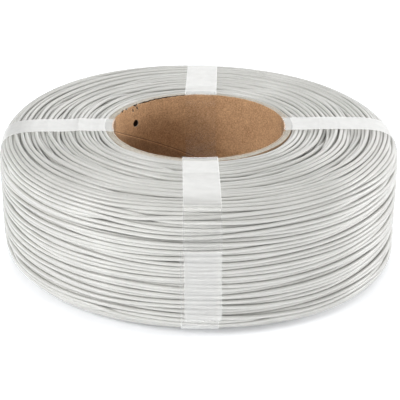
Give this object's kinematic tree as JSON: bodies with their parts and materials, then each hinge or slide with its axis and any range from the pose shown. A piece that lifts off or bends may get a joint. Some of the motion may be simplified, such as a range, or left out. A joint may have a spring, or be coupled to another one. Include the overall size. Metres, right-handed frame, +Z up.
{
  "type": "filament spool",
  "caption": "Spool-less filament coil: a wide ring of wound plastic strand on a paper core, held by clear tape bands looped through the bore.",
  "frame": {"origin": "middle of the underside, on the coil's axis", "axes": "+Z up along the coil's axis; -Y is the front, where one tape band comes down the outside"},
  "size_m": [0.1779, 0.1778, 0.0573],
  "materials": {
    "filament": "satin",
    "kraft_paper": "raw",
    "liner_paper": "raw",
    "clear_film": "clear"
  },
  "bodies": {
    "root": {"core_body": "kraft_paper", "core_liner": "liner_paper", "filament_winding": "filament", "tape_band_front": "clear_film", "tape_band_right": "clear_film", "tape_band_back": "clear_film", "tape_band_left": "clear_film"}
  },
  "joints": []
}
